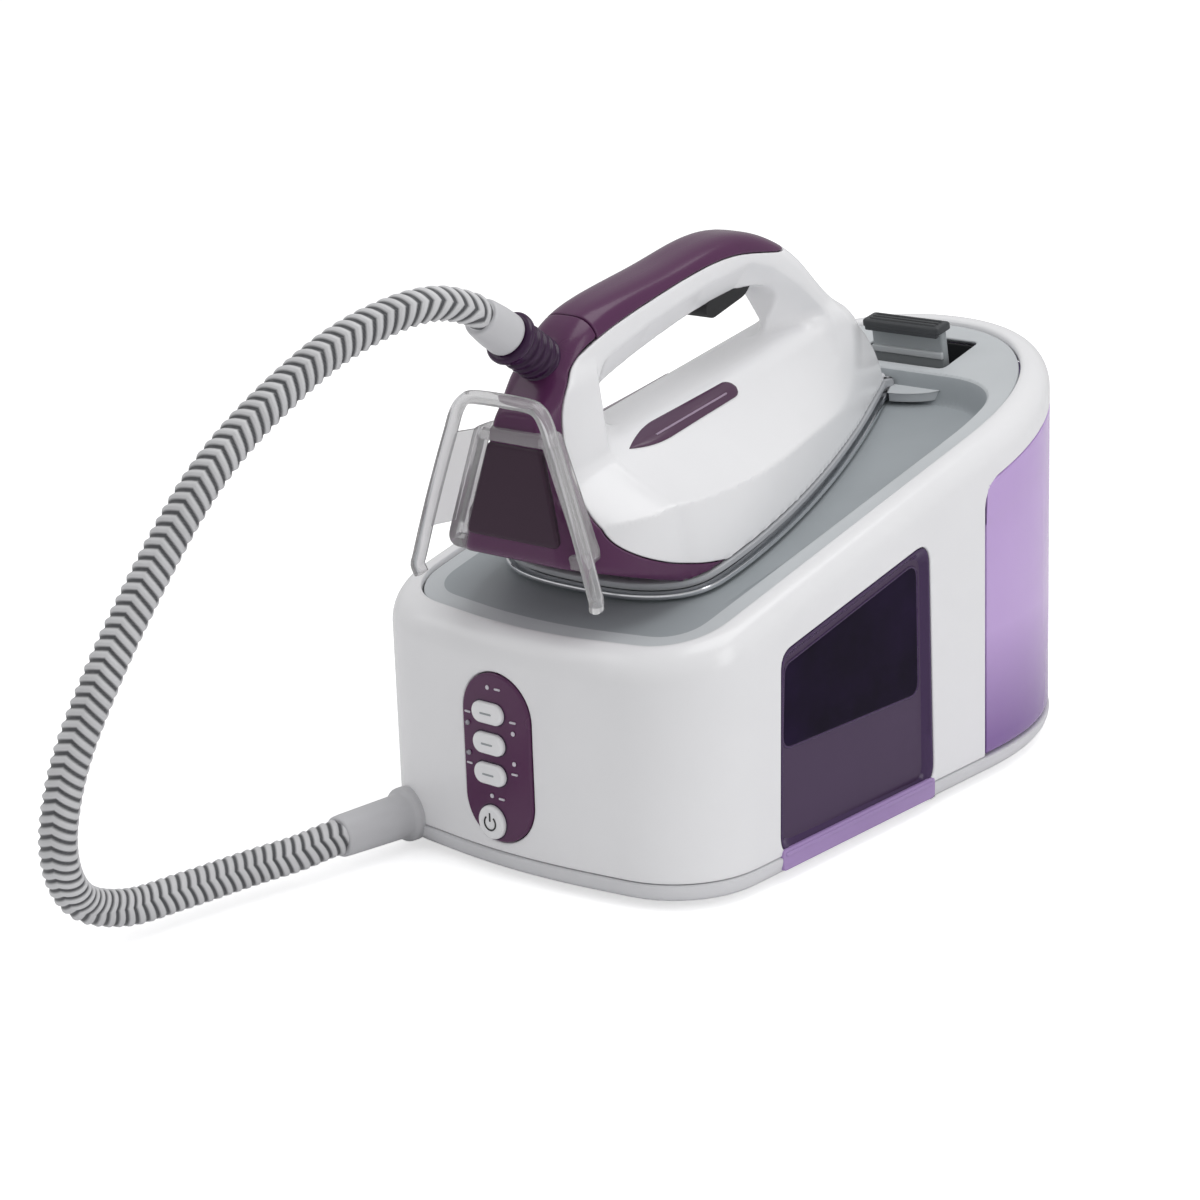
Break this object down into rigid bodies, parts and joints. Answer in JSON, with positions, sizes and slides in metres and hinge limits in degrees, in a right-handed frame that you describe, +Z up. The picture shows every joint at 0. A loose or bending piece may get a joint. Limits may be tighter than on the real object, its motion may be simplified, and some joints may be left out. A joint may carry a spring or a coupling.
{
  "type": "steam generator iron",
  "caption": "Steam generator iron: a base station with boiler, pump and removable rear water tank, and a hand iron on a steam hose resting on its sloping deck, with a sliding lock.",
  "frame": {"origin": "the middle of the footprint of the whole object, hose included, on the surface its six feet stand on (a point under the front half of the base station)", "axes": "+X towards the side with the tinted window, +Y from the control panel towards the water tank, +Z up"},
  "size_m": [0.204, 0.5632, 0.2797],
  "materials": {
    "white_plastic": "gloss",
    "deck_grey_plastic": "satin",
    "light_grey_plastic": "satin",
    "dark_plastic": "satin",
    "purple_plastic": "gloss",
    "tinted_plastic": "gloss",
    "lilac_plastic": "gloss",
    "clear_plastic": "gloss",
    "rubber": "matte",
    "silicone": "matte",
    "stainless_steel": "satin",
    "cast_aluminium": "cast",
    "brass": "machined",
    "circuit_board": "matte"
  },
  "bodies": {
    "base": {"bottom_plate": "light_grey_plastic", "foot_front_left": "rubber", "foot_front_right": "rubber", "foot_middle_left": "rubber", "foot_middle_right": "rubber", "foot_rear_left": "rubber", "foot_rear_right": "rubber", "main_housing": "white_plastic", "top_deck": "deck_grey_plastic", "rest_pad_left": "rubber", "rest_pad_right": "rubber", "rest_pad_tip": "rubber", "lock_guide": "deck_grey_plastic", "control_panel": "purple_plastic", "light_guide": "clear_plastic", "control_board": "circuit_board", "side_window": "tinted_plastic", "cord_tray": "dark_plastic", "cord_grommet": "rubber", "mains_cord": "rubber", "mains_plug": "rubber", "tank_socket": "dark_plastic", "boiler": "stainless_steel", "boiler_element": "brass", "boiler_thermostat": "cast_aluminium", "pump": "light_grey_plastic", "steam_valve": "brass", "suction_tube": "silicone", "feed_tube": "silicone", "steam_pipe": "silicone", "hose_pipe": "silicone", "hose_collar": "light_grey_plastic", "steam_hose": "light_grey_plastic"},
    "lock": {"lock_slider": "dark_plastic"},
    "button_upper": {"mode_button_upper": "white_plastic"},
    "button_middle": {"mode_button_middle": "white_plastic"},
    "button_lower": {"mode_button_lower": "white_plastic"},
    "button_power": {"power_button": "white_plastic"},
    "tank": {"water_tank": "lilac_plastic"},
    "cap": {"tank_cap": "purple_plastic"},
    "valve": {"tank_valve": "light_grey_plastic"},
    "drain": {"rinse_plug": "dark_plastic"},
    "trigger": {"steam_trigger": "dark_plastic"},
    "iron": {"soleplate": "stainless_steel", "skirt": "light_grey_plastic", "heater_block": "cast_aluminium", "steam_dome": "cast_aluminium", "sole_thermostat": "brass", "thermal_fuse": "light_grey_plastic", "inlet_tube": "silicone", "iron_shell": "white_plastic", "handle_cover": "purple_plastic", "rear_cover": "purple_plastic", "heel_stand": "clear_plastic", "indicator_lens_left": "purple_plastic", "indicator_lens_right": "purple_plastic", "trigger_spring": "stainless_steel", "microswitch": "dark_plastic", "hose_boot": "purple_plastic", "hose_cuff": "light_grey_plastic"}
  },
  "joints": [
    {"name": "iron_lift", "type": "slide", "parent": "base", "child": "iron", "axis": [0, 0, 1], "range_m": [0, 0.12], "deforming": ["steam_hose"]},
    {"name": "steam_trigger_pull", "type": "hinge", "parent": "iron", "child": "trigger", "pos_m": [0.00144, 0.09187, 0.25328], "axis": [-1, 0, 0], "range_deg": [0, 5], "deforming": ["trigger_spring"]},
    {"name": "lock_slide", "type": "slide", "parent": "base", "child": "lock", "axis": [0, -0.9845, -0.1754], "range_m": [0, 0.008]},
    {"name": "mode_button_upper_press", "type": "slide", "parent": "base", "child": "button_upper", "axis": [0, 1, 0], "range_m": [0, 0.0012]},
    {"name": "mode_button_middle_press", "type": "slide", "parent": "base", "child": "button_middle", "axis": [0, 1, 0], "range_m": [0, 0.0012]},
    {"name": "mode_button_lower_press", "type": "slide", "parent": "base", "child": "button_lower", "axis": [0, 1, 0], "range_m": [0, 0.0012]},
    {"name": "power_button_press", "type": "slide", "parent": "base", "child": "button_power", "axis": [0, 1, 0], "range_m": [0, 0.0012]},
    {"name": "tank_slide", "type": "slide", "parent": "base", "child": "tank", "axis": [0, 1, 0], "range_m": [0, 0.2]},
    {"name": "tank_cap_turn", "type": "hinge", "parent": "tank", "child": "cap", "pos_m": [0.00144, 0.19446, 0.139], "axis": [0, 0, 1], "range_deg": [0, 90]},
    {"name": "tank_valve_close", "type": "slide", "parent": "tank", "child": "valve", "axis": [0, -1, 0], "range_m": [0, 0.004]},
    {"name": "rinse_plug_turn", "type": "hinge", "parent": "base", "child": "drain", "pos_m": [0.02344, 0.00646, 0.005], "axis": [0, 0, 1], "range_deg": [0, 90]}
  ]
}
